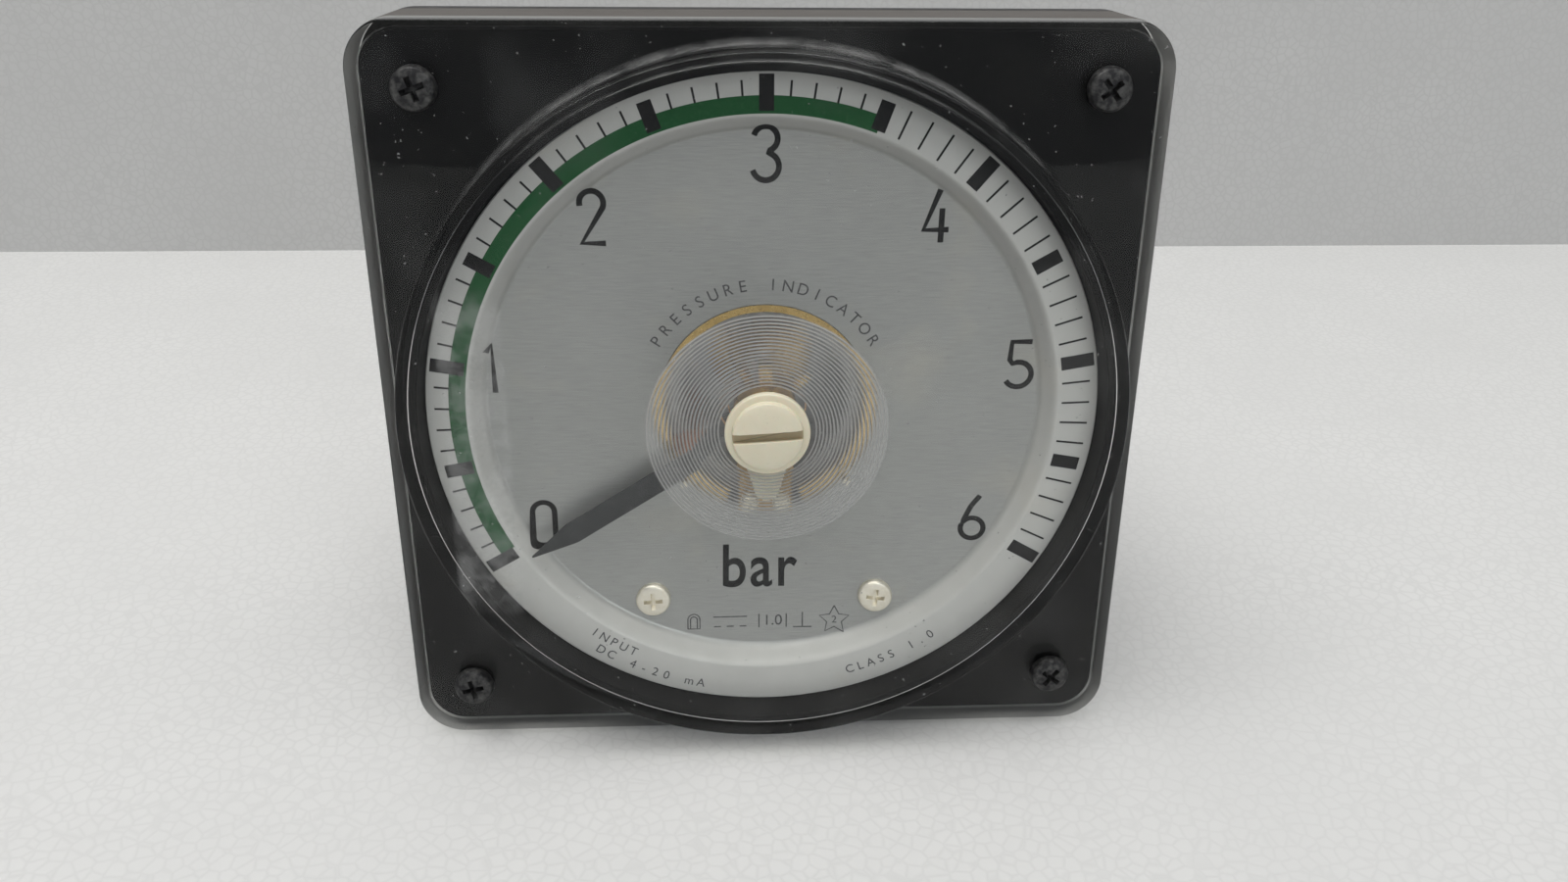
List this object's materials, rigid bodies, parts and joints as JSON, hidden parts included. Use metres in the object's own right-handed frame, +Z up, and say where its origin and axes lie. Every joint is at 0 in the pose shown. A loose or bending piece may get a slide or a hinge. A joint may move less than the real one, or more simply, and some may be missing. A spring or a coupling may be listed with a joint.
{
  "type": "panel dial indicator",
  "caption": "Square flange panel meter with a round clear window, wide-angle dial and pointer, slotted zero adjuster and a round rear barrel with stud terminals.",
  "frame": {"origin": "centre of the panel seat, which is the rear face of the square flange", "axes": "+Z up with the meter upright in its panel, +Y into the panel along the barrel, +X to the reader's right; the dial faces -Y"},
  "size_m": [0.11, 0.1053, 0.11],
  "materials": {
    "clear_cover": "clear moulded, lightly scratched",
    "black_plastic": "moulded, fine satin",
    "seal_rubber": "matt",
    "black_steel": "black oxide",
    "zinc_steel": "zinc plated",
    "ivory_plastic": "aged ivory",
    "dial_aluminium": "silver-grey lacquer",
    "nickel_steel": "nickel plated",
    "brass": "turned and stamped",
    "die_cast": "die cast",
    "soft_iron": "nickel-flashed iron",
    "magnet_alloy": "ground faces",
    "pointer_aluminium": "dark grey lacquer",
    "light_aluminium": "stamped",
    "coil_wire": "enamelled copper",
    "spindle_steel": "hardened and polished",
    "bronze": "phosphor bronze strip",
    "ruby": "polished",
    "board_laminate": "phenolic laminate",
    "spool_plastic": "moulded",
    "can_plastic": "sleeved",
    "lead_red": "insulated wire",
    "lead_black": "insulated wire"
  },
  "bodies": {
    "case": {"front_cover": "clear_cover", "bezel_mask": "black_plastic", "front_seal": "seal_rubber", "case_frame": "black_plastic", "case_barrel": "black_plastic", "cover_screws": "black_steel", "mounting_studs": "zinc_steel", "dial_plate": "dial_aluminium", "dial_screws": "nickel_steel", "dial_pillars": "brass", "front_plate": "brass", "stop_pins": "nickel_steel", "plate_pillars": "brass", "movement_base": "die_cast", "pillar_screws": "zinc_steel", "movement_screws": "zinc_steel", "pole_shell": "soft_iron", "shell_screws": "zinc_steel", "core_ring": "soft_iron", "core_foot": "soft_iron", "magnet": "magnet_alloy", "front_bridge": "brass", "rear_bridge": "brass", "bridge_screws": "nickel_steel", "front_jewel_screw": "brass", "rear_jewel_screw": "brass", "jewels": "ruby", "jewel_lock_nuts": "brass", "circuit_board": "board_laminate", "board_screws": "zinc_steel", "shunt_spool": "spool_plastic", "shunt_winding": "coil_wire", "damping_capacitor": "can_plastic", "span_trimmer": "can_plastic", "terminal_studs": "brass", "solder_tags": "brass", "terminal_washers": "brass", "terminal_spring_washers": "bronze", "terminal_nuts": "brass", "leads_red": "lead_red", "leads_black": "lead_black"},
    "adjuster": {"zero_adjuster": "ivory_plastic", "adjuster_seal": "seal_rubber", "zero_crank": "ivory_plastic", "crank_clip": "spindle_steel"},
    "zero_lever": {"zero_lever": "brass"},
    "rotor": {"pointer": "pointer_aluminium", "balance_weights": "brass", "spindle": "spindle_steel", "moving_coil": "coil_wire", "coil_carrier": "light_aluminium", "spring_collets": "brass", "front_hairspring": "bronze", "rear_hairspring": "bronze"}
  },
  "joints": [
    {"name": "pointer_swing", "type": "hinge", "parent": "case", "child": "rotor", "pos_m": [0, 0, 0], "axis": [0, 1, 0], "range_deg": [0, 245], "stiffness_Nm_per_rad": 0.00002, "deforming": ["front_hairspring", "rear_hairspring"]},
    {"name": "adjuster_turn", "type": "hinge", "parent": "case", "child": "adjuster", "pos_m": [0, 0, 0], "axis": [0, 1, 0], "range_deg": [-15, 15]},
    {"name": "zero_lever_turn", "type": "hinge", "parent": "case", "child": "zero_lever", "pos_m": [0, 0, 0], "axis": [0, 1, 0], "range_deg": [-15, 15]}
  ],
  "couplings": [
    {"joint": "zero_lever_turn", "follows": "adjuster_turn", "ratio": 1}
  ]
}
